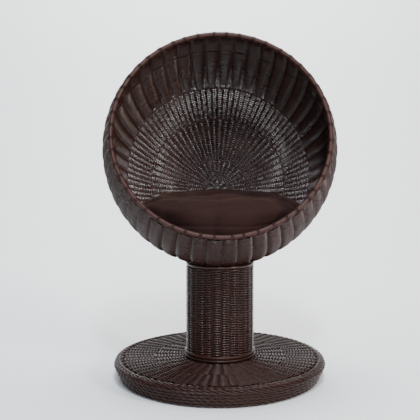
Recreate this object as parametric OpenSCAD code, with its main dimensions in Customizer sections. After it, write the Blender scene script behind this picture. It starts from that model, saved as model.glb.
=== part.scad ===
// Round woven pet bed: a tilted ball basket bolted on a woven pedestal, with a
// loose cushion inside.  Millimetres, +Z up, origin on the floor under the column.

/* [Ball] */
// Outer radius of the woven ball
ball_r = 254; // [240:1:270]
// Height of the ball's centre above the floor
ball_z = 508; // [500:1:530]
// How far the mouth looks up from level, degrees
mouth_tilt = 25; // [20:1:30]
// Half angle of the mouth, seen from the ball's centre, degrees
mouth_half = 67; // [60:1:72]
// Thickness of the woven wall
wall = 10.5; // [9:0.5:12]
// Number of panels round the mouth, each with a pair of stakes
panel_count = 48; // [36:4:52]
// Number of stakes inside the third twined ring
crown_count = 64; // [40:8:72]
// Radius of the stake canes
stake_r = 2.4; // [1.8:0.1:2.6]
// Radius of the cane that edges the mouth
rim_r = 4.75; // [4:0.25:5]

/* [Column] */
// Outer radius of the woven column
column_r = 75; // [72:1:78]
// Height where the column's weave ends, under its top band
column_top = 253.8; // [250:0.1:255]
// Number of upright stakes in the column
column_stake_count = 22; // [18:1:26]

/* [Base] */
// Largest radius of the woven base
base_r = 235.5; // [225:0.5:240]
// Height of the base's edge
base_h = 47; // [44:1:50]
// Number of long radial stakes in the base, with a short one between each two
base_stake_count = 30; // [24:1:36]
// Thickness of the board inside the base
board_t = 9; // [6:1:12]

/* [Cushion] */
// Height of the cushion's underside
cushion_z = 291; // [290:1:296]
// Roundness of the cushion's thick edge, as a radius
cushion_edge_r = 38; // [34:1:38]
// Angle from straight down at which the cushion leaves the bowl's wall, degrees
cushion_angle = 44; // [40:1:45]
// Thickness of the cover cloth
cloth_t = 1.5; // [1:0.25:2]

/* [Hidden] */
$fn = 48;
round_fn = 180;                  // for the ball and the cushion's large arcs

// finishes
cane = [0.16, 0.11, 0.09];
cane_rim = [0.24, 0.15, 0.12];
plywood = [0.20, 0.13, 0.09];
steel = [0.62, 0.63, 0.65];
rubber = [0.10, 0.10, 0.10];
suede = [0.13, 0.08, 0.06];
fibre = [0.90, 0.90, 0.86];
zip_tape = [0.10, 0.07, 0.06];

gap = 0.3;                       // space between pieces that meet along a curve
touch = 0.1;                     // space between pieces that lie against each other
past = 1;                        // how far a cut runs past the face it starts from
inner_r = ball_r - wall;         // inside of the woven wall
mid_r = ball_r - wall / 2;       // middle of the woven wall

// twined rings, as angles from the mouth's axis
ring_angles = [91.5, 121, 140];
ring_cane_r = 2.8;
ring_half = 0.75;                // half of the slot that a ring fills, degrees
mouth_edge = mouth_half + 1.25;  // where the woven wall begins
crown_stake_end = 165;           // the crown's stakes stop short of the pole
stake_gap = 0.1;                 // between a ring and the ends of the stakes, degrees
panel = 360 / panel_count;
pair_half = 1.6;                 // half of the angle between the stakes of a pair

lash_cane_r = 1.1;
lash_turns = 2;
lash_pitch = 0.75;               // angle between the turns of one lashing, degrees

// column and base heights
glide_h = 4;
glide_r = 10;
glide_ring_r = 195;
glide_count = 6;
glide_floor = 1.5;               // rubber left under the nail's head
nail_head_r = 4;
nail_head_h = 2.2;
nail_gap = 0.2;                  // round the nail's head, in the glide
nail_r = 1.5;
nail_hole_r = 1.55;
nail_l = 10.1;
board_z = glide_h;
board_r = 213.5;
board_top = board_z + board_t;
core_r = 66.7;
core_wall = 6.7;
core_top = 254;
plug_r = core_r - core_wall - gap;
foot_plug_h = 18;
head_plug_z = 230;
head_plug_h = 34;                // before its top is dished
column_wall = 8;
stake_ring_r = column_r - column_wall / 2;
weave_foot = 51.3;               // where the column's weave meets the base's top
collar_cane_r = 3.6;
band_cane_r = 4;
band_z = column_top + band_cane_r + 0.2;
band_out = 0.5;                  // how far the band stands out from the weave
bulge_r = 11;                    // roundness of the base's upper edge
bulge_z = base_h - bulge_r;
hoop_r = 5;
hoop_ring_r = base_r - bulge_r - 2;
hoop_z = bulge_z - 1;
border_cane_r = 4;
border_z = 7;
border_ring_r = 218.5;
base_rise = 3.5;                 // how much the base's top rises to the collar
base_skin = 7.5;
top_inner_r = 84.5;
short_stake_r = 150;             // where the base's short stakes begin
edge_stake_ring_r = 215;
edge_stake_top = bulge_z + 2;

// fasteners
bolt_r = 3;
bolt_clear = 3.4;
bolt_fit = 3.05;
bolt_head_r = 6;
bolt_head_h = 3.6;
bolt_sink = 0.4;                 // the base bolts' heads, below the board's underside
sink_r = 8;
base_bolt_ring = 35;
base_bolt_l = 22;
ball_bolt_x = 29.4;              // between two panels
ball_bolt_y = 18.4;
clamp_r = 55;
clamp_top = 276;
washer_t = 1.5;
washer_r = 9;
washer_hole_r = 3.3;
tee_flange_r = 9.5;
tee_flange_t = 1.5;
tee_barrel_r = 4;
tee_barrel_h = 8;

// cushion
cushion_wall_gap = 2;
cushion_r = inner_r - cushion_wall_gap;
cushion_crown = 5;
edge_c_r = (cushion_r - cushion_edge_r) * sin(cushion_angle);
edge_c_z = ball_z - (cushion_r - cushion_edge_r) * cos(cushion_angle);
cushion_rim_r = edge_c_r + cushion_edge_r;
zip_half = 55;                   // half of the angle that the zip runs through
zip_r = cushion_rim_r + touch;   // inside of the zip's tape
zip_h = 10;
zip_t = 1.4;
slider_start = 40;               // place of the slider at rest, degrees from +X
slider_arc = 3;
slider_h = 8;
slider_t = 3;
pull_arc = 7;
pull_h = 5;
pull_t = 1.2;

// a ring of round cane lying flat
module hoop(r, z, cane_r) {
    translate([0, 0, z])
        rotate_extrude()
            translate([r, 0])
                circle(cane_r);
}

// the ball's own frame: centre at the ball's centre, +Z out of the mouth
module in_ball() {
    translate([0, 0, ball_z])
        rotate([90 - mouth_tilt, 0, 0])
            children();
}

// a flat wedge from one angle off the mouth's axis to another
module wedge(from, to) {
    reach = 2 * ball_r;
    steps = 3;
    polygon(concat([[0, 0]], [
        for (i = [0:steps])
            let (a = from + (to - from) * i / steps)
                [reach * sin(a), reach * cos(a)]
    ]));
}

// a zone of the woven wall
module zone(from, to) {
    in_ball()
        rotate_extrude()
            intersection() {
                difference() {
                    circle(ball_r, $fn = round_fn);
                    circle(inner_r, $fn = round_fn);
                }
                wedge(from, to);
            }
}

// one stake: an arc of cane in the middle of the wall
module meridian(from, to, azimuth) {
    rotate([0, 0, azimuth])
        rotate([90, 0, 0])
            rotate([0, 0, 90 - to])
                rotate_extrude(angle = to - from)
                    translate([mid_r, 0])
                        circle(stake_r);
}

// a twined ring round the ball
module twined_ring(index) {
    a = ring_angles[index];
    color(cane)
        in_ball()
            hoop(mid_r * sin(a), mid_r * cos(a), ring_cane_r);
}

module ball_bolt_places() {
    for (x = [-ball_bolt_x, ball_bolt_x])
        for (y = [-ball_bolt_y, ball_bolt_y])
            translate([x, y, 0])
                children();
}

module base_bolt_places() {
    for (a = [0:90:270])
        rotate([0, 0, a])
            translate([base_bolt_ring, 0, 0])
                children();
}

module glide_places() {
    children();
    for (i = [0:glide_count - 1])
        rotate([0, 0, i * 360 / glide_count])
            translate([glide_ring_r, 0, 0])
                children();
}

// ---- base ----

module base_glides() {
    color(rubber)
        glide_places()
            difference() {
                cylinder(r = glide_r, h = glide_h);
                translate([0, 0, glide_floor])
                    cylinder(r = nail_head_r + nail_gap, h = glide_h);
            }
}

module base_glide_nails() {
    color(steel)
        glide_places()
            translate([0, 0, glide_floor + nail_gap]) {
                cylinder(r = nail_head_r, h = nail_head_h);
                cylinder(r = nail_r, h = nail_l);
            }
}

module base_board() {
    color(plywood)
        difference() {
            translate([0, 0, board_z])
                cylinder(r = board_r, h = board_t);
            glide_places()
                cylinder(r = nail_hole_r, h = 2 * board_top);
            base_bolt_places() {
                translate([0, 0, board_z - past])
                    cylinder(r = sink_r, h = past + bolt_sink + bolt_head_h);
                cylinder(r = bolt_clear, h = 2 * board_top);
            }
        }
}

module base_foot_border() {
    color(cane)
        hoop(border_ring_r, border_z, border_cane_r);
}

module base_hoop() {
    color(cane)
        hoop(hoop_ring_r, hoop_z, hoop_r);
}

// a radial cane in the middle of the base's top skin
module radial_stake(start) {
    lean = atan2(base_rise, base_r - bulge_r - top_inner_r);
    drop = (start - top_inner_r) * tan(lean);
    translate([start, 0, base_h + base_rise - base_skin / 2 - drop])
        rotate([0, 90 + lean, 0])
            cylinder(r = stake_r, h = hoop_ring_r - start);
}

module base_stakes() {
    step = 360 / base_stake_count;
    color(cane)
        for (i = [0:base_stake_count - 1]) {
            rotate([0, 0, i * step])
                radial_stake(top_inner_r);
            rotate([0, 0, (i + 0.5) * step])
                radial_stake(short_stake_r);
        }
}

module base_edge_stakes() {
    low = board_top + gap;
    color(cane)
        for (i = [0:2 * base_stake_count - 1])
            rotate([0, 0, i * 180 / base_stake_count])
                translate([edge_stake_ring_r, 0, low])
                    cylinder(r = stake_r, h = edge_stake_top - low);
}

module base_weave_top() {
    outer = base_r - 2 * bulge_r - gap;
    color(cane)
        rotate_extrude()
            polygon([
                [top_inner_r, base_h + base_rise - base_skin],
                [outer, base_h - base_skin],
                [outer, base_h],
                [top_inner_r, base_h + base_rise]
            ]);
}

module base_weave_edge() {
    foot = border_z + border_cane_r + gap;
    tuck = 0.4;
    drop = 3;
    color(cane)
        rotate_extrude()
            difference() {
                union() {
                    translate([base_r - bulge_r, bulge_z])
                        circle(bulge_r);
                    polygon([
                        [board_r + gap, foot],
                        [border_ring_r + border_cane_r, foot],
                        [base_r - tuck, bulge_z - drop],
                        [base_r - 2 * bulge_r + touch, hoop_z]
                    ]);
                }
                translate([hoop_ring_r, hoop_z])
                    circle(hoop_r + touch);
            }
}

module base_collar() {
    slack = 0.4;
    spread = 1;
    lift = 0.6;
    reach = column_r + collar_cane_r + slack;
    low = base_h + base_rise + collar_cane_r + lift;
    color(cane) {
        hoop(reach + spread, low, collar_cane_r);
        hoop(reach, low + 2 * collar_cane_r + touch, collar_cane_r);
    }
}

module base_bolts() {
    color(steel)
        base_bolt_places()
            translate([0, 0, board_z + bolt_sink]) {
                cylinder(r = bolt_head_r, h = bolt_head_h);
                cylinder(r = bolt_r, h = base_bolt_l);
            }
}

// ---- column ----

module column_core() {
    color(plywood)
        difference() {
            translate([0, 0, board_top])
                cylinder(r = core_r, h = core_top - board_top);
            cylinder(r = core_r - core_wall, h = 2 * core_top);
        }
}

module column_foot_plug() {
    color(plywood)
        difference() {
            translate([0, 0, board_top])
                cylinder(r = plug_r, h = foot_plug_h);
            base_bolt_places()
                cylinder(r = bolt_fit, h = 2 * board_top + foot_plug_h);
        }
}

module column_head_plug() {
    color(plywood)
        difference() {
            rotate_extrude()
                difference() {
                    translate([0, head_plug_z])
                        square([plug_r, head_plug_h]);
                    translate([0, ball_z])
                        circle(ball_r + gap, $fn = round_fn);
                }
            ball_bolt_places() {
                cylinder(r = bolt_clear, h = ball_z);
                translate([0, 0, head_plug_z - past])
                    cylinder(r = tee_barrel_r + touch, h = past + tee_barrel_h + touch);
            }
        }
}

module column_stakes() {
    color(cane)
        for (i = [0:column_stake_count - 1])
            rotate([0, 0, i * 360 / column_stake_count])
                translate([stake_ring_r, 0, weave_foot])
                    cylinder(r = stake_r, h = column_top - weave_foot);
}

module column_weave() {
    color(cane)
        difference() {
            translate([0, 0, weave_foot])
                cylinder(r = column_r, h = column_top - weave_foot);
            cylinder(r = column_r - column_wall, h = 2 * column_top);
        }
}

module column_top_band() {
    color(cane)
        hoop(column_r - band_cane_r + band_out, band_z, band_cane_r);
}

module tee_nuts() {
    color(steel)
        ball_bolt_places()
            difference() {
                translate([0, 0, head_plug_z - tee_flange_t]) {
                    cylinder(r = tee_flange_r, h = tee_flange_t);
                    cylinder(r = tee_barrel_r, h = tee_flange_t + tee_barrel_h);
                }
                cylinder(r = bolt_fit, h = ball_z);
            }
}

// ---- ball ----

module ball_bolts() {
    head_z = clamp_top + washer_t + touch;
    shank_foot = head_plug_z - 2;
    color(steel)
        ball_bolt_places() {
            translate([0, 0, head_z])
                cylinder(r = bolt_head_r, h = bolt_head_h);
            translate([0, 0, shank_foot])
                cylinder(r = bolt_r, h = head_z + past - shank_foot);
        }
}

module ball_washers() {
    color(steel)
        ball_bolt_places()
            translate([0, 0, clamp_top])
                difference() {
                    cylinder(r = washer_r, h = washer_t);
                    translate([0, 0, -past])
                        cylinder(r = washer_hole_r, h = washer_t + 2 * past);
                }
}

module ball_clamp_plate() {
    reach = 20;                  // below the plate's top, past the wall it rests on
    color(plywood)
        difference() {
            rotate_extrude()
                intersection() {
                    translate([0, clamp_top - reach])
                        square([clamp_r, reach]);
                    translate([0, ball_z])
                        circle(inner_r - gap, $fn = round_fn);
                }
            ball_bolt_places()
                cylinder(r = bolt_clear, h = ball_z);
        }
}

module ball_rim_cane() {
    color(cane_rim)
        in_ball()
            hoop(mid_r * sin(mouth_half), mid_r * cos(mouth_half), rim_r);
}

module ball_rim_lashing() {
    color(cane_rim)
        in_ball()
            for (i = [0:panel_count - 1])
                for (turn = [0:lash_turns - 1])
                    rotate([0, 0, (i + 0.5) * panel + (turn - 0.5) * lash_pitch])
                        translate([mid_r * sin(mouth_half), 0, mid_r * cos(mouth_half)])
                            rotate([90, 0, 0])
                                hoop(rim_r + lash_cane_r + touch / 2, 0, lash_cane_r);
}

module ball_stakes() {
    color(cane)
        in_ball()
            for (i = [0:panel_count - 1])
                for (side = [-1, 1])
                    meridian(
                        mouth_edge, ring_angles[1] - stake_gap,
                        (i + 0.5) * panel + side * pair_half
                    );
}

module ball_back_stakes() {
    color(cane)
        in_ball()
            for (i = [0:2 * panel_count - 1])
                meridian(
                    ring_angles[1] + stake_gap, ring_angles[2] - stake_gap,
                    (i + 0.5) * panel / 2
                );
}

module ball_crown_stakes() {
    color(cane)
        in_ball()
            for (i = [0:crown_count - 1])
                meridian(
                    ring_angles[2] + stake_gap, crown_stake_end,
                    (i + 0.5) * 360 / crown_count
                );
}

module ball_ring_front() {
    twined_ring(0);
}

module ball_ring_middle() {
    twined_ring(1);
}

module ball_ring_back() {
    twined_ring(2);
}

module ball_weave_mouth() {
    color(cane)
        zone(mouth_edge, ring_angles[0] - ring_half);
}

module ball_weave_side() {
    color(cane)
        difference() {
            zone(ring_angles[0] + ring_half, ring_angles[1] - ring_half);
            ball_bolt_places()
                cylinder(r = bolt_clear, h = ball_z);
        }
}

module ball_weave_back() {
    color(cane)
        zone(ring_angles[1] + ring_half, ring_angles[2] - ring_half);
}

module ball_weave_crown() {
    color(cane)
        zone(ring_angles[2] + ring_half, 180);
}

// ---- cushion ----

// half outline of the cushion, drawn in by a distance all round
module cushion_half(inset) {
    foot = cushion_z + inset;
    top = edge_c_z + cushion_edge_r - inset;
    bow_r = (edge_c_r * edge_c_r + cushion_crown * cushion_crown) / (2 * cushion_crown);
    intersection() {
        translate([0, ball_z])
            circle(cushion_r - inset, $fn = round_fn);
        polygon([
            [0, foot],
            [(ball_z - foot) * tan(cushion_angle), foot],
            [edge_c_r, edge_c_z],
            [edge_c_r, top],
            [0, top]
        ]);
    }
    translate([edge_c_r, edge_c_z])
        circle(cushion_edge_r - inset);
    intersection() {
        translate([0, top + cushion_crown - bow_r])
            circle(bow_r, $fn = round_fn);
        translate([0, top - past])
            square([edge_c_r, cushion_crown + 2 * past]);
    }
}

module cushion_cloth() {
    difference() {
        cushion_half(0);
        cushion_half(cloth_t);
    }
}

module cushion_top_panel() {
    color(suede)
        rotate_extrude()
            intersection() {
                cushion_cloth();
                translate([0, edge_c_z])
                    square([2 * ball_r, ball_r]);
            }
}

module cushion_bottom_panel() {
    color(suede)
        rotate_extrude()
            intersection() {
                cushion_cloth();
                translate([0, edge_c_z - ball_r])
                    square([2 * ball_r, ball_r]);
            }
}

module cushion_filling() {
    color(fibre)
        rotate_extrude()
            cushion_half(cloth_t + touch);
}

module cushion_zip() {
    color(zip_tape)
        rotate([0, 0, 90 - zip_half])
            translate([0, 0, edge_c_z - zip_h / 2])
                rotate_extrude(angle = 2 * zip_half)
                    translate([zip_r, 0])
                        square([zip_t, zip_h]);
}

module zip_slider() {
    face = zip_r + zip_t + gap;
    bite = 0.2;                  // how deep the pull stands in the slider
    color(steel) {
        rotate([0, 0, slider_start])
            translate([0, 0, edge_c_z - slider_h / 2])
                rotate_extrude(angle = slider_arc)
                    translate([face, 0])
                        square([slider_t, slider_h]);
        rotate([0, 0, slider_start + slider_arc / 2])
            translate([0, 0, edge_c_z - pull_h / 2])
                rotate_extrude(angle = pull_arc)
                    translate([face + slider_t - bite, 0])
                        square([pull_t, pull_h]);
    }
}

base_glides();
base_glide_nails();
base_board();
base_foot_border();
base_hoop();
base_stakes();
base_edge_stakes();
base_weave_top();
base_weave_edge();
base_collar();
base_bolts();
column_core();
column_foot_plug();
column_head_plug();
column_stakes();
column_weave();
column_top_band();
tee_nuts();
ball_bolts();
ball_washers();
ball_clamp_plate();
ball_rim_cane();
ball_rim_lashing();
ball_stakes();
ball_back_stakes();
ball_crown_stakes();
ball_ring_front();
ball_ring_middle();
ball_ring_back();
ball_weave_mouth();
ball_weave_side();
ball_weave_back();
ball_weave_crown();
cushion_top_panel();
cushion_bottom_panel();
cushion_filling();
cushion_zip();
zip_slider();
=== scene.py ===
"""A woven ball bed for a small pet, on a woven column and base.

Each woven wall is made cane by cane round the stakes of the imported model, the cushion is
blown up and settled as cloth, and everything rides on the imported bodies.
"""
import math

import bmesh
import bpy
from bpy.props import FloatProperty, FloatVectorProperty, IntProperty, PointerProperty
from mathutils import Matrix, Vector, noise


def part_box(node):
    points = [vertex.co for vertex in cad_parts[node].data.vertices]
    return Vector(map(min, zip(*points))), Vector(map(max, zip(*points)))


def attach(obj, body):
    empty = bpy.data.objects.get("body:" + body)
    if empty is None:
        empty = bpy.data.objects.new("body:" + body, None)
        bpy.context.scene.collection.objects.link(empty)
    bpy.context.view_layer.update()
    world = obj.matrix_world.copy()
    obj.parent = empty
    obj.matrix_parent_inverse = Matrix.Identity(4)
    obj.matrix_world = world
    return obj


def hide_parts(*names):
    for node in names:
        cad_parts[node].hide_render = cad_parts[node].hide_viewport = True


bl_info = {
    "name": "Woven Ball Pet Bed",
    "version": (1, 0, 0),
    "blender": (4, 5, 0),
    "location": "3D View > Sidebar > Pet Bed",
    "description": "Builds the canes, cushion, finishes and studio of a woven ball pet bed",
    "category": "Object",
}

TAU = 2 * math.pi
MM = 0.001

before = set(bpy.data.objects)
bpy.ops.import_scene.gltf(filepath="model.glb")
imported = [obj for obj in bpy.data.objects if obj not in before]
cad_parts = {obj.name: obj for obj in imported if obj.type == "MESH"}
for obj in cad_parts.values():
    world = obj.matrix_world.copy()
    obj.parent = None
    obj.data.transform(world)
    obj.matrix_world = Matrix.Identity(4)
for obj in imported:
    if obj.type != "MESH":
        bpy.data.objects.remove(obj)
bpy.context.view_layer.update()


# ---- places and sizes that come from the frame ----

def hoop_size(node):
    """Centre, ring radius and cane radius of a hoop of round cane whose axis is square to X."""
    low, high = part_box(node)
    half = (high - low) / 2
    spare = half.y + half.z - half.x
    cane = spare - math.sqrt(max(0, spare ** 2 - half.y ** 2 - half.z ** 2 + half.x ** 2))
    return (low + high) / 2, half.x - cane, cane


def ball_place():
    """Centre, middle radius of the wall and the mouth's direction, from two hoops of the ball."""
    mouth, mouth_r, _ = hoop_size("ball_rim_cane")
    back, back_r, _ = hoop_size("ball_ring_back")
    axis = mouth - back
    apart = axis.length
    axis.normalize()
    out = (apart + (back_r ** 2 - mouth_r ** 2) / apart) / 2
    return mouth - axis * out, math.hypot(mouth_r, out), axis


BALL_CENTRE, BALL_R, BALL_AXIS = ball_place()
TILT = math.atan2(-BALL_AXIS.y, BALL_AXIS.z)
IN_BALL = Matrix.Translation(BALL_CENTRE) @ Matrix.Rotation(TILT, 4, "X")


def angle_in_ball(node):
    """Angle of one of the ball's hoops from the mouth's axis, in degrees."""
    centre, ring, _ = hoop_size(node)
    return math.degrees(math.atan2(ring, (centre - BALL_CENTRE).dot(BALL_AXIS)))


MOUTH_ANGLE = angle_in_ball("ball_rim_cane")
RING_NODES = ("ball_ring_front", "ball_ring_middle", "ball_ring_back")
RING_ANGLES = [angle_in_ball(node) for node in RING_NODES]


# ---- sizes and colours that a user would change ----

class CaneSettings(bpy.types.PropertyGroup):
    """Sizes of the canes and of the weave."""

    panels: IntProperty(
        name="Panels", description="Panels of the ball round its mouth, one pair of stakes each",
        default=48, min=24, max=60)
    fine_pitch: FloatProperty(
        name="Fine pitch", description="Distance between rows of the ball's two outer bands",
        default=1.8 * MM, min=1.2 * MM, max=4 * MM, unit="LENGTH", precision=5)
    pitch: FloatProperty(
        name="Pitch", description="Distance between rows of the ball's back and of the column",
        default=2.62 * MM, min=2 * MM, max=5 * MM, unit="LENGTH", precision=5)
    base_pitch: FloatProperty(
        name="Base pitch", description="Distance between rows of the base's top",
        default=3.5 * MM, min=2.5 * MM, max=6 * MM, unit="LENGTH", precision=5)
    rope_pitch: FloatProperty(
        name="Rope pitch", description="Distance between rows of the base's edge",
        default=7.25 * MM, min=5 * MM, max=10 * MM, unit="LENGTH", precision=5)
    column_stakes: IntProperty(
        name="Column stakes", description="Upright stakes of the column", default=22, min=12, max=32)
    base_stakes: IntProperty(
        name="Base stakes", description="Long radial stakes of the base", default=30, min=16, max=40)
    paint: FloatVectorProperty(
        name="Paint", description="Colour of the painted canes", subtype="COLOR",
        default=(0.0235, 0.0084, 0.0060), min=0, max=1)
    rim_paint: FloatVectorProperty(
        name="Rim paint", description="Colour of the cane that edges the mouth", subtype="COLOR",
        default=(0.0260, 0.0088, 0.0066), min=0, max=1)


class CushionSettings(bpy.types.PropertyGroup):
    """Size and colour of the cushion."""

    cloth: FloatVectorProperty(
        name="Cloth", description="Colour of the cushion's suede cloth", subtype="COLOR",
        default=(0.0135, 0.0038, 0.0028), min=0, max=1)
    lobes: IntProperty(
        name="Lobes", description="Soft lobes round the cushion's edge", default=10, min=0, max=16)
    lobe_depth: FloatProperty(
        name="Lobe depth", description="How far the edge draws in between its lobes",
        default=9 * MM, min=0, max=15 * MM, unit="LENGTH", precision=4)
    voxel: FloatProperty(
        name="Voxel", description="Grain of the cushion's cloth before it is blown up",
        default=5 * MM, min=3 * MM, max=8 * MM, unit="LENGTH", precision=4)
    swell: FloatProperty(
        name="Swell", description="How far the cloth may swell", default=6 * MM, min=0,
        max=30 * MM, unit="LENGTH", precision=4)


class StudioSettings(bpy.types.PropertyGroup):
    """Camera, lights and floor."""

    distance: FloatProperty(
        name="Distance", description="Camera's distance from the column's axis", default=1.9034,
        min=0.5, max=6, unit="LENGTH")
    height: FloatProperty(
        name="Height", description="Camera's height above the floor", default=0.5951,
        min=0.1, max=3, unit="LENGTH")
    pitch: FloatProperty(
        name="Pitch", description="How far the camera looks down", default=math.radians(6.58),
        subtype="ANGLE")
    yaw: FloatProperty(
        name="Yaw", description="How far the camera stands to the mouth's left",
        default=math.radians(1.7), subtype="ANGLE")
    lens: FloatProperty(
        name="Lens", description="Focal length on a 36 mm sensor", default=74.65, min=20, max=200)
    shift: FloatProperty(
        name="Shift", description="Sideways shift of the lens", default=-0.0235, min=-0.2, max=0.2)
    floor_paint: FloatVectorProperty(
        name="Floor", description="Colour of the floor and its sweep", subtype="COLOR",
        default=(0.84, 0.86, 0.87), min=0, max=1)


# ---- nodes written as expressions ----

class Value:
    """A socket's value, with Python's operators in place of Math nodes."""

    def __init__(self, net, socket):
        self.net = net
        self.socket = socket

    def maths(self, operation, *others):
        inputs = dict(enumerate((self, *others)))
        return self.net.add("ShaderNodeMath", {"operation": operation}, inputs)[0]

    def __add__(self, other):
        return self.maths("ADD", other)

    def __sub__(self, other):
        return self.maths("SUBTRACT", other)

    def __rsub__(self, other):
        return self.net.number(other).maths("SUBTRACT", self)

    def __mul__(self, other):
        return self.maths("MULTIPLY", other)

    def __truediv__(self, other):
        return self.maths("DIVIDE", other)

    def __rtruediv__(self, other):
        return self.net.number(other).maths("DIVIDE", self)

    __radd__ = __add__
    __rmul__ = __mul__

    def cos(self):
        return self.maths("COSINE")

    def sin(self):
        return self.maths("SINE")

    def sqrt(self):
        return self.maths("SQRT")

    def between(self, low, high):
        """0 at low and below, 1 at high and above, and smooth in between."""
        settings = {"interpolation_type": "SMOOTHSTEP"}
        inputs = {"Value": self, "From Min": low, "From Max": high}
        return self.net.add("ShaderNodeMapRange", settings, inputs)["Result"]


class Made:
    """A node that was added; an index or name gives that output as a Value."""

    def __init__(self, net, node):
        self.net = net
        self.node = node

    def __getitem__(self, key):
        return Value(self.net, find_socket(self.node.outputs, key))


def find_socket(sockets, key):
    """A socket by its number, its identifier or its name."""
    if isinstance(key, int):
        return sockets[key]
    for socket in sockets:
        if socket.identifier == key:
            return socket
    for socket in sockets:
        if socket.name == key and socket.enabled:
            return socket
    raise KeyError(key)


class Net:
    """Adds nodes to a shader or geometry tree."""

    def __init__(self, tree):
        self.tree = tree

    def number(self, value):
        """A plain number as a Value."""
        return self.add("ShaderNodeMath", {"operation": "ADD"}, {0: value, 1: 0.0})[0]

    def vector(self, **parts):
        """A vector from its X, Y and Z, each 0 unless given."""
        return self.add("ShaderNodeCombineXYZ", {}, parts)["Vector"]

    def circle(self, points, radius=None):
        """A circle of this many points, which a cane's section or path starts from."""
        inputs = {"Resolution": points, "Radius": radius}
        return self.add("GeometryNodeCurvePrimitiveCircle", {"mode": "RADIUS"}, inputs)["Curve"]

    def random(self, low, high, number, seed):
        """A random number between two, the same each time for one number and seed."""
        inputs = {"Min_001": low, "Max_001": high, "ID": number, "Seed": seed}
        return self.add("FunctionNodeRandomValue", {"data_type": "FLOAT"}, inputs)["Value_001"]

    def own_place(self):
        """Where a point of the surface is, in its piece's own frame."""
        return self.add("ShaderNodeTexCoord")["Object"]

    def bump(self, height, strength, distance):
        """The surface's normal, roughened by a height."""
        inputs = {"Strength": strength, "Distance": distance, "Height": height}
        return self.add("ShaderNodeBump", {}, inputs)["Normal"]

    def add(self, kind, settings=None, inputs=None):
        """A node of one kind: its settings first, then its sockets' values or links."""
        node = self.tree.nodes.new(kind)
        for name, value in (settings or {}).items():
            if name == "stops":
                self.set_stops(node.color_ramp, value)
            else:
                setattr(node, name, value)
        for key, value in (inputs or {}).items():
            socket = find_socket(node.inputs, key)
            if isinstance(value, Value):
                self.tree.links.new(value.socket, socket)
            elif value is not None:
                socket.default_value = value
        return Made(self, node)

    @staticmethod
    def set_stops(ramp, stops):
        while len(ramp.elements) < len(stops):
            ramp.elements.new(1.0)
        for element, (place, colour) in zip(ramp.elements, stops):
            element.position = place
            element.color = colour


def geometry_tree(name, inputs):
    """An empty geometry tree with these named inputs, and the node that gives them."""
    tree = bpy.data.node_groups.new(name, "GeometryNodeTree")
    tree.interface.new_socket("Geometry", in_out="INPUT", socket_type="NodeSocketGeometry")
    for label, kind in inputs:
        tree.interface.new_socket(label, in_out="INPUT", socket_type="NodeSocket" + kind)
    tree.interface.new_socket("Geometry", in_out="OUTPUT", socket_type="NodeSocketGeometry")
    net = Net(tree)
    return net, net.add("NodeGroupInput")


def end_tree(net, geometry, material):
    """The tree's last nodes: real geometry, smooth, in its material."""
    real = net.add("GeometryNodeRealizeInstances", {}, {"Geometry": geometry})["Geometry"]
    smooth = net.add("GeometryNodeSetShadeSmooth", {}, {"Geometry": real})["Geometry"]
    painted = net.add("GeometryNodeSetMaterial", {}, {"Geometry": smooth, "Material": material})
    net.add("NodeGroupOutput", {}, {"Geometry": painted["Geometry"]})


def named(net, name, kind="FLOAT"):
    """An attribute of the points, by name."""
    return net.add("GeometryNodeInputNamedAttribute", {"data_type": kind}, {"Name": name})["Attribute"]


def store(net, geometry, name, value, kind="FLOAT"):
    """The geometry with a value kept at each of its points, by name."""
    settings = {"data_type": kind, "domain": "POINT"}
    inputs = {"Geometry": geometry, "Name": name, "Value": value}
    return net.add("GeometryNodeStoreNamedAttribute", settings, inputs)["Geometry"]


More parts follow.
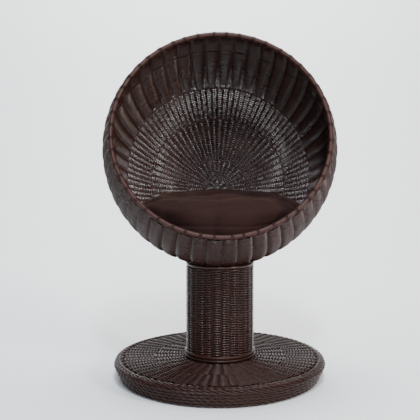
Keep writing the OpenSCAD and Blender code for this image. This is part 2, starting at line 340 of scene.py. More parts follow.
def weave_tree():
    """Canes that run round the Z axis, one row for each point, and swing in and out between stakes."""
    net, given = geometry_tree("woven_rows", [
        ("Strands", "Int"), ("Stakes", "Int"), ("Steps", "Int"), ("Sides", "Int"),
        ("Cane Radius", "Float"), ("Depth", "Float"), ("Rise", "Float"), ("Flatness", "Float"),
        ("Double Bump", "Float"), ("Pinch", "Float"), ("Row Phase", "Float"), ("Turn", "Float"),
        ("Unevenness", "Float"), ("Seed", "Int"), ("Material", "Material")])

    # one point for each strand of each row, and a circle of cane at each point
    strands = net.add(
        "GeometryNodeDuplicateElements", {"domain": "POINT"},
        {"Geometry": given["Geometry"], "Amount": given["Strands"]})
    points = store(net, strands["Geometry"], "strand", strands["Duplicate Index"])
    around = given["Stakes"] * given["Steps"]
    placed = net.add(
        "GeometryNodeInstanceOnPoints", {}, {"Points": points, "Instance": net.circle(around)})
    loose = net.add("GeometryNodeRealizeInstances", {}, {"Geometry": placed["Instances"]})["Geometry"]

    # how far along its swing each point of a cane is
    theta = net.add("GeometryNodeSplineParameter")["Index"] / around * TAU
    row = named(net, "row")
    strand = named(net, "strand")
    phase = row * given["Row Phase"] + strand * TAU / given["Strands"]
    swing = (theta - given["Turn"]) * given["Stakes"] * 0.5 + phase
    wave = swing.cos()
    flat = given["Flatness"] * given["Flatness"]
    shape = wave * ((flat + 1) / (wave * wave + flat)).sqrt()
    in_out = given["Depth"] * shape * (1 - given["Double Bump"] * (swing * 4).cos())
    up_down = given["Rise"] * swing.sin()

    # small unevenness of the hand's work
    where = net.vector(
        X=theta.cos() * 4, Y=theta.sin() * 4, Z=row * 0.23 + strand * 3.1 + given["Seed"])
    wander = (noise_at(net, where, 1.3) - 0.5) * given["Unevenness"]

    at = net.add("ShaderNodeSeparateXYZ", {}, {"Vector": named(net, "at", "FLOAT_VECTOR")})
    out = net.add("ShaderNodeSeparateXYZ", {}, {"Vector": named(net, "out", "FLOAT_VECTOR")})
    radius = at["X"] + out["X"] * in_out + out["Z"] * (up_down + wander)
    height = at["Z"] + out["Z"] * in_out - out["X"] * (up_down + wander)
    position = net.vector(X=radius * theta.cos(), Y=radius * theta.sin(), Z=height)
    woven = net.add(
        "GeometryNodeSetPosition", {}, {"Geometry": loose, "Position": position})["Geometry"]

    # each cane has its own thickness and shade, and is squeezed where it passes between stakes
    own = net.random(0.0, 1.0, row * 5 + strand, given["Seed"])
    along = net.vector(X=theta * at["X"], Y=row * 5 + strand, Z=own)
    woven = store(net, woven, "cane", along, "FLOAT_VECTOR")
    scale = (1 - given["Pinch"] * (1 - shape * shape)) * (0.95 + own * 0.1)
    tubes = net.add("GeometryNodeCurveToMesh", {}, {
        "Curve": woven, "Profile Curve": net.circle(given["Sides"], given["Cane Radius"]),
        "Scale": scale})
    end_tree(net, tubes["Mesh"], given["Material"])
    return net.tree


def spoke_tree():
    """Straight or bent canes set round the Z axis, singly or in pairs."""
    net, given = geometry_tree("spokes", [
        ("Count", "Int"), ("Pair Angle", "Float"), ("Turn", "Float"), ("Cane Radius", "Float"),
        ("Sides", "Int"), ("Material", "Material")])
    line = net.add("GeometryNodeMeshToCurve", {}, {"Mesh": given["Geometry"]})["Curve"]
    cane = net.add("GeometryNodeCurveToMesh", {}, {
        "Curve": line, "Profile Curve": net.circle(given["Sides"], given["Cane Radius"]),
        "Fill Caps": True})["Mesh"]
    points = net.add("GeometryNodeMeshLine", {"mode": "OFFSET"}, {
        "Count": given["Count"], "Offset": (0.0, 0.0, 0.0)})["Mesh"]
    index = net.add("GeometryNodeInputIndex")["Index"]
    odd = index.maths("MODULO", 2.0) - 0.5
    angle = given["Turn"] + index / given["Count"] * TAU + odd * given["Pair Angle"]
    canes = net.add("GeometryNodeInstanceOnPoints", {}, {
        "Points": points, "Instance": cane, "Rotation": net.vector(Z=angle)})["Instances"]
    end_tree(net, canes, given["Material"])
    return net.tree


def lashing_tree():
    """Turns of thin cane bound round a hoop that lies about the Z axis."""
    net, given = geometry_tree("lashings", [
        ("Count", "Int"), ("Turns", "Int"), ("Turn", "Float"), ("Turn Pitch", "Float"),
        ("Hoop Radius", "Float"), ("Hoop Height", "Float"), ("Slope", "Float"),
        ("Loop Radius", "Float"), ("Stretch", "Float"), ("Cane Radius", "Float"),
        ("Seed", "Int"), ("Material", "Material")])
    turn = net.add("GeometryNodeCurveToMesh", {}, {
        "Curve": net.circle(12, given["Loop Radius"]),
        "Profile Curve": net.circle(5, given["Cane Radius"])})["Mesh"]
    # the loop stands across the hoop, and reaches a little towards the wall
    for change in (
            {"Translation": net.vector(Y=(1 - given["Stretch"]) * given["Loop Radius"]),
             "Scale": net.vector(X=1.0, Y=given["Stretch"], Z=1.0)},
            {"Rotation": net.vector(Z=given["Slope"])},
            {"Rotation": (math.pi / 2, 0.0, 0.0)}):
        turn = net.add("GeometryNodeTransform", {}, {"Geometry": turn, **change})["Geometry"]

    total = given["Count"] * given["Turns"]
    points = net.add("GeometryNodeMeshLine", {"mode": "OFFSET"}, {
        "Count": total, "Offset": (0.0, 0.0, 0.0)})["Mesh"]
    index = net.add("GeometryNodeInputIndex")["Index"]
    group = (index / given["Turns"] + 0.001).maths("FLOOR")
    place = index - group * given["Turns"]
    jitter = net.random(-0.5, 0.5, group, given["Seed"])
    own = net.random(-0.5, 0.5, index, given["Seed"] + 7)
    middle = (given["Turns"] - 1) * 0.5
    spread = (place - middle + own * 0.35) * given["Turn Pitch"]
    angle = given["Turn"] + (group + jitter * 0.3) / given["Count"] * TAU + spread
    at = net.vector(X=given["Hoop Radius"] * angle.cos(), Y=given["Hoop Radius"] * angle.sin(),
                    Z=given["Hoop Height"])
    points = net.add("GeometryNodeSetPosition", {}, {"Geometry": points, "Position": at})["Geometry"]
    points = store(net, points, "facing", net.vector(Z=angle + own * 0.25), "FLOAT_VECTOR")
    bound = net.add("GeometryNodeInstanceOnPoints", {}, {
        "Points": points, "Instance": turn, "Rotation": named(net, "facing", "FLOAT_VECTOR")})
    end_tree(net, bound["Instances"], given["Material"])
    return net.tree


TREES = {}


def tree_for(make):
    """The geometry tree that a function makes, made once."""
    if make.__name__ not in TREES:
        TREES[make.__name__] = make()
    return TREES[make.__name__]


# ---- meshes ----

def link(name, mesh):
    """A new object for a mesh, in the scene."""
    piece = bpy.data.objects.new(name, mesh)
    bpy.context.scene.collection.objects.link(piece)
    return piece


def evaluated_mesh(host):
    """A plain mesh of an object as its modifiers leave it."""
    graph = bpy.context.evaluated_depsgraph_get()
    graph.update()
    return bpy.data.meshes.new_from_object(host.evaluated_get(graph))


def grow(make, seed_mesh, values, place=None):
    """Runs a geometry tree on a mesh and returns the result as a plain mesh, put in its place."""
    tree = tree_for(make)
    host = link("host", seed_mesh)
    modifier = host.modifiers.new("Grow", "NODES")
    modifier.node_group = tree
    inputs = {i.name: i.identifier for i in tree.interface.items_tree if i.in_out == "INPUT"}
    for name, value in values.items():
        modifier[inputs[name]] = value
    mesh = evaluated_mesh(host)
    bpy.data.objects.remove(host)
    for attribute in list(mesh.attributes):
        if attribute.name in ("at", "out", "row", "strand", "facing"):
            mesh.attributes.remove(attribute)
    if place:
        mesh.transform(place)
    return mesh


def arc_rows(radius, first, last, pitch):
    """Rows on a ball from one angle off its axis to another: places and outward directions."""
    count = round(math.radians(last - first) * radius / pitch)
    for i in range(count):
        a = math.radians(first + (i + 0.5) * (last - first) / count)
        yield radius * math.sin(a), radius * math.cos(a), math.sin(a), math.cos(a)


def line_rows(start, end, pitch):
    """Rows along a straight line in the (radius, height) plane; outward is on the left of its run."""
    span = Vector(end) - Vector(start)
    count = round(span.length / pitch)
    along = span.normalized()
    for i in range(count):
        place = Vector(start) + span * (i + 0.5) / count
        yield place.x, place.y, -along.y, along.x


def row_mesh(rows):
    """Points for the weave tree: one for each row, with its place, outward direction and number."""
    rows = list(rows)
    mesh = bpy.data.meshes.new("rows")
    mesh.from_pydata([(r, 0, z) for r, z, _, _ in rows], [], [])
    for name, values in (
            ("at", [(r, 0, z) for r, z, _, _ in rows]),
            ("out", [(out_r, 0, out_z) for _, _, out_r, out_z in rows])):
        attribute = mesh.attributes.new(name, "FLOAT_VECTOR", "POINT")
        attribute.data.foreach_set("vector", [number for value in values for number in value])
    attribute = mesh.attributes.new("row", "FLOAT", "POINT")
    attribute.data.foreach_set("value", range(len(rows)))
    return mesh


def line_mesh(points):
    """A chain of edges in the XZ plane through (radius, height) points."""
    mesh = bpy.data.meshes.new("line")
    edges = [(i, i + 1) for i in range(len(points) - 1)]
    mesh.from_pydata([(r, 0, z) for r, z in points], edges, [])
    return mesh


WEAVE = {
    "Strands": 1, "Steps": 6, "Sides": 5, "Rise": 0.0, "Flatness": 0.45, "Double Bump": 0.0,
    "Pinch": 0.3, "Row Phase": math.pi, "Turn": 0.0, "Unevenness": 0.6 * MM, "Seed": 3,
}


def weave(rows, material, place=None, **values):
    """A mesh of woven canes, one for each row."""
    return grow(weave_tree, row_mesh(rows), {**WEAVE, **values, "Material": material}, place)


def spokes(points, material, place=None, **values):
    """A mesh of equal canes along a line, set round the axis."""
    given = {"Pair Angle": 0.0, "Turn": 0.0, "Sides": 6, **values, "Material": material}
    return grow(spoke_tree, line_mesh(points), given, place)


def joined(meshes):
    """Several meshes as one."""
    shape = bmesh.new()
    for mesh in meshes:
        shape.from_mesh(mesh)
    whole = bpy.data.meshes.new("joined")
    shape.to_mesh(whole)
    shape.free()
    for material in meshes[0].materials:
        whole.materials.append(material)
    for mesh in meshes:
        bpy.data.meshes.remove(mesh)
    return whole


def add_canes(node, mesh, ending="canes"):
    """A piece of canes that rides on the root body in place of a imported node."""
    piece = link(f"{node}_{ending}", mesh)
    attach(piece, "root")
    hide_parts(node)


# ---- finishes ----

def shader(name):
    """A new material, its net, and the function that ends it in a Principled shader."""
    material = bpy.data.materials.new(name)
    material.use_nodes = True
    material.node_tree.nodes.clear()
    net = Net(material.node_tree)

    def finish(**sockets):
        inputs = {key.replace("_", " "): value for key, value in sockets.items()}
        surface = net.add("ShaderNodeBsdfPrincipled", {}, inputs)["BSDF"]
        net.add("ShaderNodeOutputMaterial", {}, {"Surface": surface})
        return material

    return net, finish


def tint(net, factor, dark, light):
    """A colour between two, by a factor."""
    mix = net.add("ShaderNodeMix", {"data_type": "RGBA"}, {
        "Factor_Float": factor, "A_Color": (*dark, 1), "B_Color": (*light, 1)})
    return mix["Result_Color"]


def scaled(colour, by):
    """A colour made darker or lighter."""
    return tuple(min(1.0, c * by) for c in colour)


def noise_at(net, vector, scale, detail=2.0, roughness=0.5):
    """Soft noise from 0 to 1 over a place."""
    return net.add("ShaderNodeTexNoise", {}, {
        "Vector": vector, "Scale": scale, "Detail": detail, "Roughness": roughness})["Fac"]


def painted_cane(name, paint, dullness, shine):
    """Glossy paint over cane: fine grain along each cane, its own shade, and dust-dulled patches."""
    net, finish = shader(name)
    cane = net.add("ShaderNodeAttribute", {"attribute_name": "cane"})["Vector"]
    parts = net.add("ShaderNodeSeparateXYZ", {}, {"Vector": cane})
    along = net.vector(X=parts["X"] * 45, Y=parts["Y"] * 3.7, Z=parts["Z"] * 9)
    where = net.own_place()
    grain = noise_at(net, along, 1.0, 3.0, 0.6)
    patches = noise_at(net, where, 22.0, 3.0)
    fine = noise_at(net, where, 900.0, 2.0)
    shade = parts["Z"] * 0.55 + grain * 0.5 + patches * 0.35 - 0.22
    colour = tint(net, shade, scaled(paint, 0.6), scaled(paint, 1.6))
    roughness = dullness + patches * 0.12 + grain * 0.12
    return finish(Base_Color=colour, Roughness=roughness, Specular_IOR_Level=shine,
                  Normal=net.bump(grain + fine * 0.4, 0.3, 0.2 * MM))


def suede(name, cloth):
    """Brushed suede cloth: short nap that catches the light in soft patches."""
    net, finish = shader(name)
    where = net.own_place()
    nap = noise_at(net, where, 70.0, 5.0, 0.62)
    fibre = noise_at(net, where, 1400.0, 2.0)
    shade = nap.between(0.3, 0.72) * 0.75 + fibre * 0.25
    colour = tint(net, shade, scaled(cloth, 0.82), scaled(cloth, 1.3))
    return finish(Base_Color=colour, Roughness=0.82 + nap * 0.12, Specular_IOR_Level=0.2,
                  Sheen_Weight=0.08, Sheen_Roughness=0.4, Sheen_Tint=(0.55, 0.30, 0.24, 1),
                  Normal=net.bump(fibre + nap * 0.6, 0.5, 0.6 * MM))


def plywood(name):
    """Dark-stained plywood with a fine grain along X."""
    net, finish = shader(name)
    where = net.own_place()
    long = net.add("ShaderNodeMapping", {}, {"Vector": where, "Scale": (8.0, 120.0, 120.0)})["Vector"]
    grain = noise_at(net, long, 1.0, 4.0, 0.6)
    colour = tint(net, grain.between(0.3, 0.7), (0.028, 0.014, 0.009), (0.062, 0.034, 0.021))
    return finish(Base_Color=colour, Roughness=0.62 + grain * 0.15,
                  Normal=net.bump(grain, 0.3, 0.3 * MM))


def plated_steel(name):
    """Zinc-plated steel, a little cloudy."""
    net, finish = shader(name)
    where = net.own_place()
    cloud = noise_at(net, where, 240.0, 3.0)
    colour = tint(net, cloud, (0.42, 0.43, 0.44), (0.66, 0.66, 0.67))
    return finish(Base_Color=colour, Metallic=1.0, Roughness=0.24 + cloud * 0.25)


def rubber(name):
    """Matt black rubber."""
    net, finish = shader(name)
    where = net.own_place()
    grit = noise_at(net, where, 700.0, 2.0)
    colour = tint(net, grit, (0.012, 0.012, 0.012), (0.03, 0.03, 0.03))
    return finish(Base_Color=colour, Roughness=0.75 + grit * 0.2)


def tape(name):
    """Woven zip tape, ribbed along its height."""
    net, finish = shader(name)
    where = net.own_place()
    rib = net.add("ShaderNodeTexWave", {"wave_type": "BANDS", "bands_direction": "Z"}, {
        "Vector": where, "Scale": 400.0, "Distortion": 0.4})["Fac"]
    colour = tint(net, rib, (0.012, 0.007, 0.006), (0.03, 0.018, 0.015))
    return finish(Base_Color=colour, Roughness=0.8 + rib * 0.1,
                  Normal=net.bump(rib, 0.5, 0.3 * MM))


def sweep_paint(name, colour):
    """The studio floor and its sweep."""
    net, finish = shader(name)
    where = net.own_place()
    cloud = noise_at(net, where, 1.5, 2.0)
    return finish(Base_Color=tint(net, cloud, scaled(colour, 0.97), scaled(colour, 1.02)),
                  Roughness=0.85)


MATERIALS = {}


def material(name, make, *values):
    """A material by name, made when it is first asked for."""
    if name not in MATERIALS:
        MATERIALS[name] = make(name, *values)
    return MATERIALS[name]


def cane_material():
    """The paint on most of the canes."""
    return material("painted_cane", painted_cane, tuple(bpy.context.scene.bed_canes.paint), 0.17, 0.38)


def back_material():
    """The paint on the ball's back and crown: glossier, where no paw wears it."""
    return material("back_cane", painted_cane, tuple(bpy.context.scene.bed_canes.paint), 0.15, 1.0)


def base_material_with_painted_shade():
    """The paint on the base: darker as painted shade from the ball above it, and dulled by feet."""
    # painted shade: the base's paint is darkened to stand for the shade the ball casts on it
    paint = scaled(tuple(bpy.context.scene.bed_canes.paint), 0.85)
    return material("base_cane", painted_cane, paint, 0.26, 0.2)


def rim_material():
    """The redder paint of the cane that edges the mouth, and of its lashings."""
    return material("rim_cane", painted_cane, tuple(bpy.context.scene.bed_canes.rim_paint), 0.34, 0.2)


def repaint(node, finish):
    """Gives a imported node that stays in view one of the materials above."""
    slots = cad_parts[node].data.materials
    slots.clear()
    slots.append(finish)


# ---- operators ----

class BED_OT_ball(bpy.types.Operator):
    """Weave the ball: its bands, its crown and the stakes inside them"""

    bl_idname = "bed.ball"
    bl_label = "Ball"

    def execute(self, context):
        sizes = context.scene.bed_canes
        paint = cane_material()
        glossy = back_material()
        panel = TAU / sizes.panels
        # each band stops short of the rings beside it, and the first one short of the mouth
        slot = math.degrees(2.0 * MM / BALL_R)
        rim_gap = 1.25
        ends = [MOUTH_ANGLE + rim_gap]
        for angle in RING_ANGLES:
            ends += [angle - slot, angle + slot]
        fine = {"Cane Radius": 1.62 * MM, "Depth": 4.3 * MM, "Stakes": sizes.panels,
                "Turn": panel / 2, "Double Bump": 0.05, "Flatness": 0.42}
        coarse = {"Cane Radius": 2.25 * MM, "Depth": 2.9 * MM, "Flatness": 1.0, "Pinch": 0.1}
        for name, first, last in (
                ("ball_weave_mouth", ends[0], ends[1]), ("ball_weave_side", ends[2], ends[3])):
            rows = arc_rows(BALL_R, first, last, sizes.fine_pitch)
            add_canes(name, weave(rows, paint, IN_BALL, **fine))
        rows = arc_rows(BALL_R, ends[4], ends[5], sizes.pitch)
        doubled = 2 * sizes.panels
        back = weave(rows, glossy, IN_BALL, Stakes=doubled, Turn=panel / 4, Steps=4, **coarse)
        add_canes("ball_weave_back", back)
        # the crown loses half of its stakes on the way in, and closes round a few at the pole
        crown_stakes = 64
        split, knot, pole = 164.0, 175.0, 180.0
        crown = [
            weave(arc_rows(BALL_R, first, last, sizes.pitch), glossy, IN_BALL,
                  Stakes=stakes, Turn=turn, Steps=steps, **coarse)
            for first, last, stakes, turn, steps in (
                (ends[6], split, crown_stakes, TAU / crown_stakes / 2, 4),
                (split, knot, crown_stakes // 2, TAU / crown_stakes, 4),
                (knot, pole, 8, 0.0, 6))]
        add_canes("ball_weave_crown", joined(crown))

        together = 2 * math.radians(1.6)
        stakes_end = 172.0
        bends = 14
        for name, first, last, count, between in (
                ("ball_stakes", ends[0], RING_ANGLES[1], doubled, together),
                ("ball_back_stakes", RING_ANGLES[1], RING_ANGLES[2], doubled, TAU / doubled),
                ("ball_crown_stakes", RING_ANGLES[2], stakes_end, crown_stakes, TAU / crown_stakes)):
            angles = [math.radians(first + (last - first) * i / bends) for i in range(bends + 1)]
            line = [(BALL_R * math.sin(a), BALL_R * math.cos(a)) for a in angles]
            step = TAU / count
            canes = spokes(line, paint, IN_BALL, **{
                "Count": count, "Pair Angle": between - step, "Turn": step / 2,
                "Cane Radius": 1.7 * MM})
            add_canes(name, canes)

        for node, angle, stakes in zip(RING_NODES, RING_ANGLES, (doubled, doubled, crown_stakes)):
            a = math.radians(angle)
            ring = [(BALL_R * math.sin(a), BALL_R * math.cos(a), math.sin(a), math.cos(a))]
            twine = weave(ring, paint, IN_BALL, **{
                "Strands": 2, "Stakes": stakes, "Cane Radius": 1.9 * MM, "Depth": 1.7 * MM,
                "Rise": 0.8 * MM, "Flatness": 2.0, "Pinch": 0.0, "Turn": TAU / stakes / 2,
                "Unevenness": 0.2 * MM})
            add_canes(node, twine)
        return {"FINISHED"}


class BED_OT_mouth(bpy.types.Operator):
    """Edge the mouth with one thick cane and lash it to the wall"""

    bl_idname = "bed.mouth"
    bl_label = "Mouth"

    def execute(self, context):
        sizes = context.scene.bed_canes
        centre, ring, cane = hoop_size("ball_rim_cane")
        height = (centre - BALL_CENTRE).dot(BALL_AXIS)
        a = math.radians(MOUTH_ANGLE)
        hoop = weave([(ring, height, math.sin(a), math.cos(a))], rim_material(), IN_BALL, **{
            "Stakes": sizes.panels, "Steps": 4, "Sides": 12, "Cane Radius": cane, "Depth": 0.0,
            "Pinch": 0.0, "Unevenness": 1.6 * MM})
        add_canes("ball_rim_cane", hoop, "hoop")
        # the lashings have no seed points: their tree sets out its own
        lash = 1.05 * MM
        bound = grow(lashing_tree, bpy.data.meshes.new("none"), {
            "Count": sizes.panels, "Turns": 3, "Turn": TAU / sizes.panels / 2,
            "Turn Pitch": 2.3 * MM / ring, "Hoop Radius": ring, "Hoop Height": height,
            "Slope": math.pi / 2 - a, "Loop Radius": cane + lash * 0.7, "Stretch": 1.42,
            "Cane Radius": lash, "Seed": 11, "Material": rim_material()}, IN_BALL)
        add_canes("ball_rim_lashing", bound, "turns")
        return {"FINISHED"}


class BED_OT_column(bpy.types.Operator):
    """Weave the column, bind its top with a band, and close the joint to the ball"""

    bl_idname = "bed.column"
    bl_label = "Column"

    def execute(self, context):
        sizes = context.scene.bed_canes
        paint = cane_material()
        low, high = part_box("column_weave")
        outward = 0.3 * MM
        middle = (high.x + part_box("column_core")[1].x) / 2 + outward
        canes = weave(line_rows((middle, high.z), (middle, low.z), sizes.pitch), paint, **{
            "Stakes": sizes.column_stakes, "Steps": 8, "Sides": 6, "Cane Radius": 1.9 * MM,
            "Depth": 2.5 * MM, "Unevenness": 1.3 * MM, "Seed": 21})
        add_canes("column_weave", canes)
        stakes = spokes([(middle, low.z), (middle, high.z)], paint, **{
            "Count": sizes.column_stakes, "Cane Radius": 1.6 * MM})
        add_canes("column_stakes", stakes)
        centre, ring, band = hoop_size("column_top_band")
        lift = 1 * MM
        hoop = weave([(ring, centre.z + lift, 1, 0)], paint, **{
            "Stakes": 40, "Steps": 4, "Sides": 10, "Cane Radius": band, "Depth": 0.0,
            "Pinch": 0.0, "Unevenness": 1.2 * MM, "Seed": 5})
        # a twined pair fills the joint between the band and the ball
        joint = weave([(ring - band, centre.z + 1.5 * band, 1, 0)], paint, **{
            "Strands": 2, "Stakes": 60, "Steps": 4, "Cane Radius": 1.5 * MM, "Depth": 0.9 * MM,
            "Rise": 0.9 * MM, "Flatness": 2.0, "Pinch": 0.0, "Unevenness": 0.0})
        add_canes("column_top_band", joined([hoop, joint]), "cane")
        return {"FINISHED"}


class BED_OT_base(bpy.types.Operator):
    """Weave the base: its top, its edge of heavy canes, its foot border and the collar"""

    bl_idname = "bed.base"
    bl_label = "Base"

    def execute(self, context):
        sizes = context.scene.bed_canes
        paint = base_material_with_painted_shade()
        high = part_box("base_weave_top")[1]
        collar_low, collar_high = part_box("base_collar")
        edge_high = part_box("base_weave_edge")[1]
        under_collar = 7 * MM
        skin = 3.75 * MM
        top = Vector((collar_high.x - under_collar, high.z - skin))
        rim = Vector((high.x, edge_high.z - skin))
        # the short stakes start halfway out
        middle = (top + rim) / 2
        count = sizes.base_stakes
        common = {"Cane Radius": 2.3 * MM, "Depth": 2.3 * MM, "Unevenness": 1.4 * MM}
        canes = [
            weave(line_rows(top, middle, sizes.base_pitch), paint, **{
                **common, "Stakes": count, "Steps": 8, "Seed": 31}),
            weave(line_rows(middle, rim, sizes.base_pitch), paint, **{
                **common, "Stakes": 2 * count, "Steps": 5, "Seed": 32})]
        add_canes("base_weave_top", joined(canes))

        rope = {"Strands": 3, "Stakes": 2 * count, "Steps": 6, "Sides": 6, "Flatness": 3.0,
                "Cane Radius": 2.5 * MM, "Depth": 2.3 * MM, "Rise": 2.3 * MM, "Pinch": 0.0,
                "Row Phase": 1.1, "Unevenness": 2.6 * MM}
        # the upper rows lie round the base's rounded edge
        bulge = 11 * MM
        reach = bulge - 4.3 * MM
        border, border_r, _ = hoop_size("base_foot_border")
        rows = []
        for turn in (150, 100, 50, 0):
            a = math.radians(turn)
            rows.append((edge_high.x - bulge + reach * math.cos(a),
                         edge_high.z - bulge + reach * math.sin(a), math.cos(a), math.sin(a)))
        # and the lower ones on a straight slope to the foot border
        start = Vector(rows[-1][:2])
        foot = Vector((border_r, border.z))
        steps = round((foot - start).length / sizes.rope_pitch)
        along = (foot - start).normalized()
        for i in range(1, steps):
            place = start.lerp(foot, i / steps)
            rows.append((place.x, place.y, -along.y, along.x))
        edge = weave(rows, paint, **{**rope, "Seed": 41})
        add_canes("base_weave_edge", edge)
        braid = weave([(foot.x, foot.y, -along.y, along.x)], paint, **{
            **rope, "Cane Radius": 2.2 * MM, "Depth": 1.9 * MM, "Rise": 1.9 * MM, "Seed": 42,
            "Unevenness": 0.0})
        add_canes("base_foot_border", braid, "braid")

        half = (collar_high.z - collar_low.z) / 4
        ring = collar_high.x - half - 4.5 * MM
        spread = 1 * MM
        rows = [(ring + spread, collar_low.z + half, 1, 0), (ring, collar_high.z - half, 1, 0)]
        collar = weave(rows, paint, **{
            "Stakes": 24, "Steps": 6, "Sides": 10, "Cane Radius": half, "Depth": 0.0,
            "Pinch": 0.0, "Unevenness": 1.5 * MM, "Seed": 8})
        add_canes("base_collar", collar)
        for node in ("base_stakes", "base_edge_stakes", "base_hoop"):
            repaint(node, paint)
        return {"FINISHED"}


class BED_OT_inner_parts(bpy.types.Operator):
    """Finish the boards, plugs and fasteners that stay as imported"""

    bl_idname = "bed.inner_parts"
    bl_label = "Inner parts"

    def execute(self, context):
        board = material("plywood", plywood)
        steel = material("plated_steel", plated_steel)
        for node in ("base_board", "column_core", "column_foot_plug", "column_head_plug",
                     "ball_clamp_plate"):
            repaint(node, board)
        for node in ("base_glide_nails", "base_bolts", "tee_nuts", "ball_bolts", "ball_washers"):
            repaint(node, steel)
        repaint("base_glides", material("rubber", rubber))
        return {"FINISHED"}


class BED_OT_cushion(bpy.types.Operator):
    """Make the cushion: blow up its cloth, settle it in the bowl, and fit its zip"""

    bl_idname = "bed.cushion"
    bl_label = "Cushion"

    def execute(self, context):
        sizes = context.scene.bed_cushion
        cloth = material("suede", suede, tuple(sizes.cloth))
        piece = link("cushion_cover", cushion_shape(sizes))
        blow_up(piece, sizes)
        settle(piece)
        piece.data.materials.clear()
        piece.data.materials.append(cloth)
        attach(piece, "cushion")
        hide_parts("cushion_top_panel", "cushion_bottom_panel", "cushion_filling")
        repaint("cushion_zip", material("zip_tape", tape))
        repaint("zip_slider", material("plated_steel", plated_steel))
        return {"FINISHED"}


def cushion_outline():
    """The cushion's half outline as (radius, height) points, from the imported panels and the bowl."""
    top_low, top_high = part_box("cushion_top_panel")
    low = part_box("cushion_bottom_panel")[0].z
    seam = top_low.z
    rim = top_high.x
    drop = BALL_CENTRE.z - seam
    to_cushion = 7.25 * MM
    wall = BALL_R - to_cushion
    # the edge's round has its centre level with the seam, and touches the wall's inside
    edge = (wall ** 2 - drop ** 2 - rim ** 2) / (2 * (wall - rim))
    centre = rim - edge
    lean = math.atan2(centre, drop)
    foot = math.asin(math.sqrt(wall ** 2 - (BALL_CENTRE.z - low) ** 2) / wall)
    foot_steps, wall_steps, edge_steps, top_steps = 8, 10, 24, 16
    points = [(wall * math.sin(foot) * i / foot_steps, low) for i in range(foot_steps)]
    for i in range(wall_steps):
        a = foot + (lean - foot) * i / wall_steps
        points.append((wall * math.sin(a), BALL_CENTRE.z - wall * math.cos(a)))
    shoulder = 12 * MM
    squareness = 0.6
    for i in range(edge_steps + 1):
        a = lean + (math.pi - lean) * i / edge_steps
        up = -math.cos(a)
        if up > 0:
            # the stuffed shoulder is squarer than a round
            reach = edge * math.sin(a) ** squareness + shoulder * up
            points.append((centre + reach, seam + edge * up ** squareness))
        else:
            points.append((centre + edge * math.sin(a), seam + edge * up))
    # the top is puffed in a ring behind its edge, and sinks to the middle
    centre += shoulder
    puff_height = 0.7 * (top_high.z - (seam + edge))
    puff_share = 1 / 2.2
    sink = 3 * MM
    for i in range(1, top_steps + 1):
        inward = i / top_steps
        puff = math.sin(math.pi * inward / puff_share) if inward < puff_share else 0
        height = seam + edge + puff_height * puff - sink * (1 - (1 - inward) ** 2)
        points.append((centre * (1 - inward), height))
    return points, seam


def cushion_shape(sizes):
    """The cushion before it is blown up: the outline turned about Z, drawn in between its lobes."""
    points, seam = cushion_outline()
    around = 144
    rim = max(r for r, _ in points)
    shape = bmesh.new()
    rings = []
    for r, z in points:
        if r < 1e-6:
            rings.append([shape.verts.new((0, 0, z))])
            continue
        ring = []
        for k in range(around):
            a = TAU * k / around
            # deepest between lobes, none where the zip runs at the back
            lobe = abs(math.cos(a * sizes.lobes / 2 + 0.5)) ** 0.7
            front = 0.5 - 0.5 * math.sin(a) * abs(math.sin(a))
            draw = sizes.lobe_depth * (1 - lobe) * front * (r / rim) ** 5
            drop = 0.6 * draw if z > seam else 0.0
            ring.append(shape.verts.new(((r - draw) * math.cos(a), (r - draw) * math.sin(a), z - drop)))
        rings.append(ring)
    for low, high in zip(rings, rings[1:]):
        for k in range(around):
            corners = [low[k % len(low)], low[(k + 1) % around % len(low)],
                       high[(k + 1) % around % len(high)], high[k % len(high)]]
            shape.faces.new(list(dict.fromkeys(corners)))
    bmesh.ops.recalc_face_normals(shape, faces=shape.faces)
    mesh = bpy.data.meshes.new("cushion")
    shape.to_mesh(mesh)
    shape.free()
    mesh.polygons.foreach_set("use_smooth", [True] * len(mesh.polygons))
    return mesh


def blow_up(piece, sizes):
    """Remeshes the cushion, blows it up as cloth, and caps how far each point may move."""
    remesh = piece.modifiers.new("Grain", "REMESH")
    remesh.mode = "VOXEL"
    remesh.voxel_size = sizes.voxel
    piece.data = evaluated_mesh(piece)
    piece.modifiers.clear()
    rest = [v.co.copy() for v in piece.data.vertices]
    cloth = piece.modifiers.new("Cloth", "CLOTH")
    cloth.settings.use_pressure = True
    cloth.settings.uniform_pressure_force = 4.0
    cloth.settings.effector_weights.gravity = 0.0
    cloth.settings.tension_stiffness = 18.0
    cloth.settings.bending_stiffness = 0.6
    first, last = 1, 20
    cloth.point_cache.frame_start = first
    cloth.point_cache.frame_end = last
    scene = bpy.context.scene
    for number in range(first, last + 1):
        scene.frame_set(number)
    mesh = evaluated_mesh(piece)
    piece.modifiers.clear()
    scene.frame_set(first)
    for vertex, start in zip(mesh.vertices, rest):
        move = vertex.co - start
        if move.length > sizes.swell:
            vertex.co = start + move * (sizes.swell / move.length)
    piece.data = mesh
    smoother = piece.modifiers.new("Smoother", "SUBSURF")
    smoother.levels = smoother.render_levels = 1
    piece.data = evaluated_mesh(piece)
    piece.modifiers.clear()


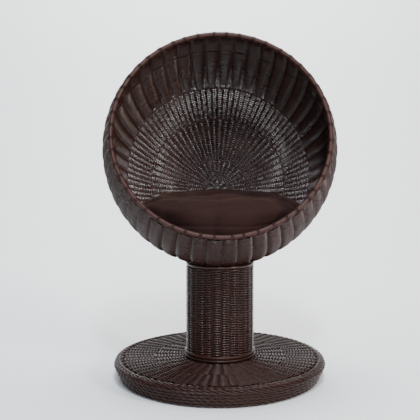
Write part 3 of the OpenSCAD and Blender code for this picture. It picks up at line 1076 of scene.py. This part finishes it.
def settle(piece):
    """Presses the cloth under the zip, draws in its seam, folds its top and keeps it in the bowl."""
    points, seam = cushion_outline()
    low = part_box("cushion_bottom_panel")[0].z
    rim = max(r for r, _ in points)
    to_wall = 6 * MM
    limit = BALL_R - to_wall
    seam_width, seam_depth = 2.5 * MM, 2.2 * MM
    folds, fold_height = 14, 6.5 * MM
    creases, crease_height = 45, 1 * MM
    zip_low, zip_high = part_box("cushion_zip")
    zip_half = (zip_high.z - zip_low.z) / 2
    zip_end = zip_high.x + 4 * MM
    zip_inside = zip_high.y - 2 * MM
    margin, slope = 1 * MM, 1.5
    for vertex in piece.data.vertices:
        co = vertex.co
        # the zip's tape lies on the cloth
        flat = Vector((co.x, co.y, 0))
        if co.y > 0 and abs(co.x) < zip_end:
            spare = max(0, abs(co.z - seam) - zip_half - margin) * slope
            over = flat.length - (zip_inside + spare)
            if over > 0 and abs(co.z - seam) < 4 * zip_half:
                co -= flat.normalized() * over
        flat = Vector((co.x, co.y, 0))
        # a sewn seam round the widest part, and long soft folds and small creases on the top
        reach = math.exp(-((co.z - seam) / seam_width) ** 2) * seam_depth
        if flat.length > rim * 0.8:
            co -= flat.normalized() * reach
        if co.z > seam:
            fold = noise.noise(Vector((co.x * folds, co.y * folds, 3.1)))
            crease = noise.noise(Vector((co.x * creases, co.y * creases, 7.7)))
            co.z += fold * fold_height + crease * crease_height
        from_centre = co - BALL_CENTRE
        if from_centre.length > limit:
            co -= from_centre.normalized() * (from_centre.length - limit)
        co.z = max(co.z, low)
        vertex.co = co
    piece.data.polygons.foreach_set("use_smooth", [True] * len(piece.data.polygons))
    piece.data.update()


class BED_OT_studio(bpy.types.Operator):
    """Set the floor, the lights and the camera"""

    bl_idname = "bed.studio"
    bl_label = "Studio"

    def execute(self, context):
        sizes = context.scene.bed_studio
        add_sweep(material("sweep", sweep_paint, tuple(sizes.floor_paint)))
        world = context.scene.world or bpy.data.worlds.new("Studio")
        context.scene.world = world
        world.use_nodes = True
        back = world.node_tree.nodes["Background"]
        back.inputs["Color"].default_value = (0.86, 0.92, 1.0, 1)
        back.inputs["Strength"].default_value = 0.2
        middle = Vector((0, 0, 0.5))
        add_light("key", (1.8, -1.7, 1.3), middle, (0.4, 0.4), 52, (1.0, 0.88, 0.78))
        add_light("window", (0.05, -2.4, 2.1), middle, (0.26, 3.0), 100, (0.88, 0.93, 1.0))
        add_light("glint", (0.1, -1.8, 2.4), middle, (0.2, 0.2), 34, (0.80, 0.90, 1.0))
        add_light("top", (0, 0.2, 3.0), middle, (1.0, 1.0), 32, (1.0, 0.98, 0.96))
        add_light("wall", (0, 0.9, 2.2), Vector((0, 2.4, 0.9)), (2.4, 0.6), 95, (1.0, 0.99, 0.98))
        camera = bpy.data.objects.new("camera", bpy.data.cameras.new("camera"))
        context.scene.collection.objects.link(camera)
        camera.location = (-sizes.distance * math.sin(sizes.yaw),
                           -sizes.distance * math.cos(sizes.yaw), sizes.height)
        camera.rotation_euler = (math.pi / 2 - sizes.pitch, 0, -sizes.yaw)
        camera.data.lens = sizes.lens
        camera.data.shift_x = sizes.shift
        context.scene.camera = camera
        return {"FINISHED"}


def add_sweep(paint):
    """A pale floor that curves up into a pale wall behind the bed."""
    floor_end, bend, wall_top, side = 1.6, 0.8, 4.0, 5.0
    outline = [(-5.0, 0.0), (floor_end, 0.0)]
    for i in range(1, 17):
        a = math.pi / 2 * i / 16
        outline.append((floor_end + bend * math.sin(a), bend * (1 - math.cos(a))))
    outline.append((floor_end + bend, wall_top))
    verts = [(x, y, z) for y, z in outline for x in (-side, side)]
    faces = [(2 * i, 2 * i + 1, 2 * i + 3, 2 * i + 2) for i in range(len(outline) - 1)]
    mesh = bpy.data.meshes.new("floor")
    mesh.from_pydata(verts, [], faces)
    mesh.polygons.foreach_set("use_smooth", [True] * len(mesh.polygons))
    mesh.materials.append(paint)
    link("floor", mesh)


def add_light(name, place, aim, size, power, colour):
    """A soft light, wide and high by size, that faces a point."""
    lamp = bpy.data.lights.new(name, "AREA")
    lamp.shape = "RECTANGLE"
    lamp.size, lamp.size_y = size
    lamp.energy = power
    lamp.color = colour
    light = bpy.data.objects.new(name, lamp)
    bpy.context.scene.collection.objects.link(light)
    light.location = place
    light.rotation_euler = (aim - Vector(place)).to_track_quat("-Z", "Y").to_euler()


class BED_PT_panel(bpy.types.Panel):
    """Builds the pet bed piece by piece"""

    bl_idname = "BED_PT_panel"
    bl_label = "Woven Pet Bed"
    bl_space_type = "VIEW_3D"
    bl_region_type = "UI"
    bl_category = "Pet Bed"

    def draw(self, context):
        for group in ("bed_canes", "bed_cushion", "bed_studio"):
            settings = getattr(context.scene, group)
            box = self.layout.box()
            for name in settings.__annotations__:
                box.prop(settings, name)
        for operator in OPERATORS:
            self.layout.operator(operator.bl_idname)


SETTINGS = {"bed_canes": CaneSettings, "bed_cushion": CushionSettings, "bed_studio": StudioSettings}
OPERATORS = (BED_OT_studio, BED_OT_ball, BED_OT_mouth, BED_OT_column, BED_OT_base,
             BED_OT_inner_parts, BED_OT_cushion)
CLASSES = (*SETTINGS.values(), *OPERATORS, BED_PT_panel)


def register():
    for item in CLASSES:
        bpy.utils.register_class(item)
    for name, kind in SETTINGS.items():
        setattr(bpy.types.Scene, name, PointerProperty(type=kind))


def unregister():
    for name in SETTINGS:
        delattr(bpy.types.Scene, name)
    for item in reversed(CLASSES):
        bpy.utils.unregister_class(item)


def main():
    register()
    bpy.ops.bed.studio()
    bpy.ops.bed.ball()
    bpy.ops.bed.mouth()
    bpy.ops.bed.column()
    bpy.ops.bed.base()
    bpy.ops.bed.inner_parts()
    bpy.ops.bed.cushion()


if __name__ == "__main__":
    main()
